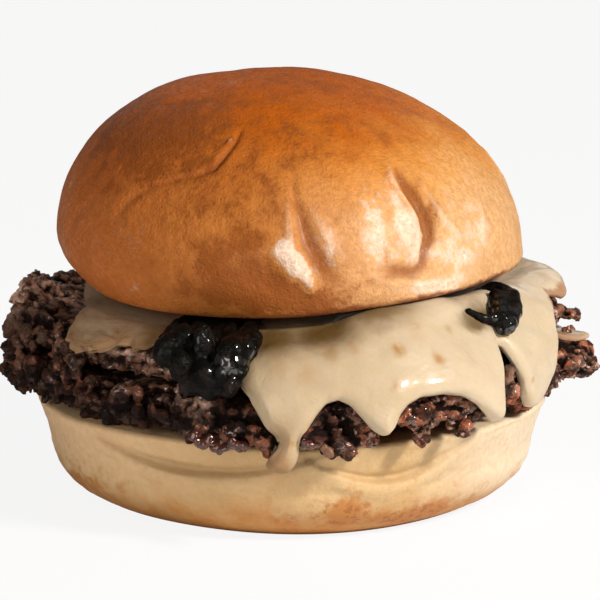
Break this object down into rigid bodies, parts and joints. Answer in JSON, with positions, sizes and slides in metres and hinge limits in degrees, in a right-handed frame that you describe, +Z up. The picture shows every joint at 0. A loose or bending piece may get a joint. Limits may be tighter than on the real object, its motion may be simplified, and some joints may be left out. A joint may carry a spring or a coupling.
{
  "type": "cheeseburger",
  "caption": "Cheeseburger with stacked smashed patties, melted cheese hanging over the front and dark fried onions in a soft milk roll.",
  "frame": {"origin": "middle of the flat foot of the roll's bottom half, on the surface it stands on", "axes": "+Z up; -Y towards the pictured front, where the cheese hangs over; +X to the right in the picture"},
  "size_m": [0.1316, 0.1247, 0.0897],
  "materials": {
    "glazed_crust": "brushed, soft shine over a brown milk roll crust",
    "heel_crumb": "matt pale roll side with toasted spots at its foot",
    "seared_beef": "dark craggy seared mince, wet with fat",
    "melted_cheese": "smooth, half-shiny melted cheese",
    "dark_onion": "black, wet and shiny"
  },
  "bodies": {
    "root": {"bun_bottom": "heel_crumb", "patty_lower": "seared_beef", "cheese_inner": "melted_cheese", "patty_upper": "seared_beef", "cheese_back": "melted_cheese", "cheese_top": "melted_cheese", "onions": "dark_onion", "bun_top": "glazed_crust"}
  },
  "joints": []
}
